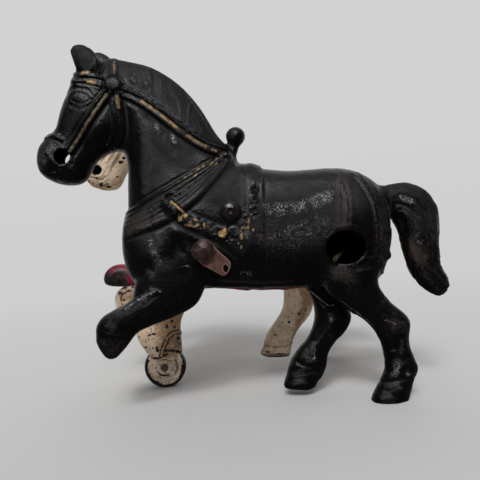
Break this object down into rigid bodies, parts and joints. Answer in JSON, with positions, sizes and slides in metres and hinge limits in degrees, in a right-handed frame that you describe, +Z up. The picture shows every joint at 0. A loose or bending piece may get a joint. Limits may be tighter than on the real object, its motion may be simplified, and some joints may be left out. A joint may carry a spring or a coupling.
{
  "type": "toy horse team",
  "caption": "Cast-iron toy draught team: two harnessed horses riveted side by side to one pole, rolling on a small wheel, with swinging trace links.",
  "frame": {"origin": "centre of the bounding box on the floor plane", "axes": "+X to the rear of the team, the longest extent; +Y to the off (cream) horse; +Z up"},
  "size_m": [0.1456, 0.0904, 0.1375],
  "materials": {
    "black_enamel": "worn semi-gloss black enamel on cast iron, brown rubs on the harness, traces of gold",
    "cream_enamel": "worn cream enamel on cast iron with brown stains and black chips",
    "red_enamel": "crimson enamel worn to dark iron on the edges",
    "wheel_enamel": "cream enamel, tread worn to black iron",
    "bare_iron": "bare brown iron, rubbed smooth",
    "yellow_rod": "dull yellowish rod"
  },
  "bodies": {
    "team": {"near_horse_outer_half": "black_enamel", "near_horse_inner_half": "black_enamel", "near_horse_rivet": "black_enamel", "cross_pin": "bare_iron", "near_pole_sleeve": "bare_iron", "off_pole_sleeve": "bare_iron", "pole": "red_enamel", "off_horse_inner_half": "cream_enamel", "off_horse_outer_half": "cream_enamel", "off_horse_rivet": "cream_enamel", "wheel_axle": "bare_iron", "haunch_rod": "yellow_rod"},
    "near_link": {"near_trace_link": "bare_iron"},
    "off_link": {"off_trace_link": "bare_iron"},
    "wheel": {"front_wheel": "wheel_enamel"}
  },
  "joints": [
    {"name": "wheel_spin", "type": "hinge", "parent": "team", "child": "wheel", "pos_m": [-0.03813, 0.0054, 0.0087], "axis": [0, 1, 0], "continuous": true},
    {"name": "near_link_swing", "type": "hinge", "parent": "team", "child": "near_link", "pos_m": [-0.01472, -0.0418, 0.05794], "axis": [0, 1, 0], "range_deg": [-42, 145]},
    {"name": "off_link_swing", "type": "hinge", "parent": "team", "child": "off_link", "pos_m": [-0.01472, 0.0418, 0.05794], "axis": [0, 1, 0], "range_deg": [-42, 145]}
  ]
}
